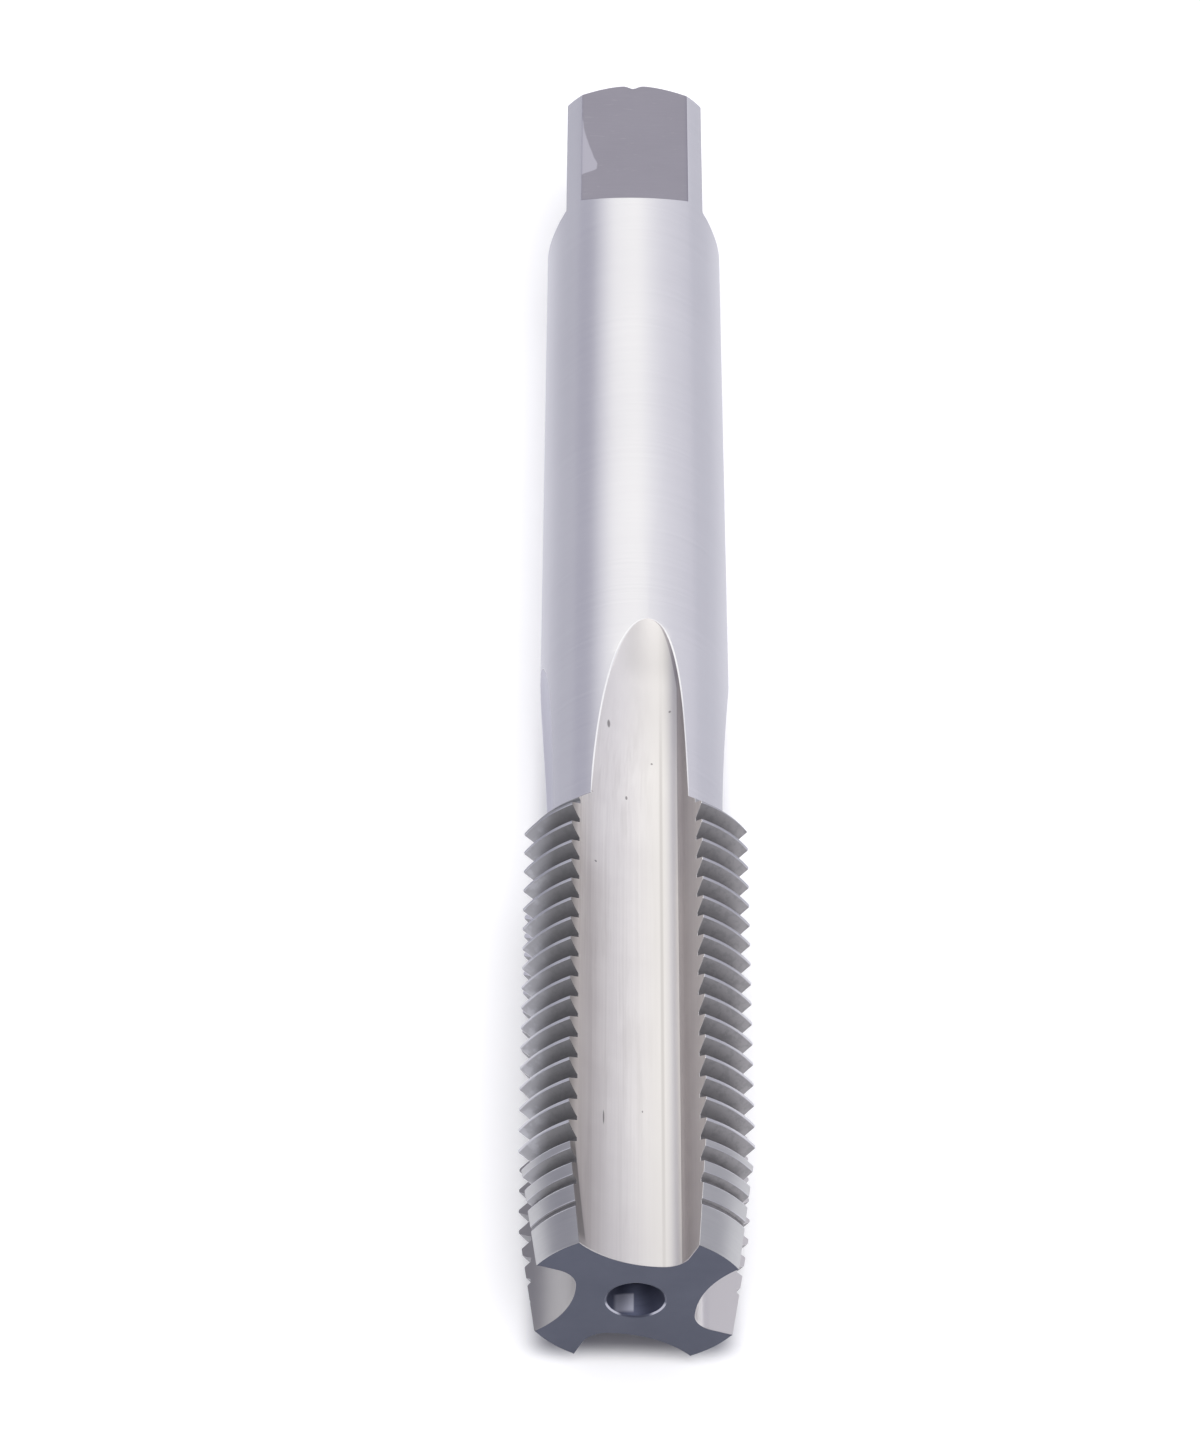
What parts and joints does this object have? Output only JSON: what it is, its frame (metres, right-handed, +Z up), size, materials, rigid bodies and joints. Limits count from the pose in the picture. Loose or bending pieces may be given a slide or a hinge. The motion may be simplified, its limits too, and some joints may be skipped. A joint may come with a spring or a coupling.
{
  "type": "thread tap",
  "caption": "Straight-flute hand tap with a tapered cutting lead, a fine right-hand thread, a plain round shank and a square end for a wrench.",
  "frame": {"origin": "under the middle of the tap's length, on the surface that it lies on", "axes": "+Y along the tap's axis, from the cutting tip towards the square; +Z up, with one flute facing up and one down; +X to the right, seen from the tip"},
  "size_m": [0.0138, 0.102, 0.0139],
  "materials": {
    "tool_steel": "ground and polished, bright in the flutes, satin on the shank"
  },
  "bodies": {
    "root": {"tap": "tool_steel"}
  },
  "joints": []
}
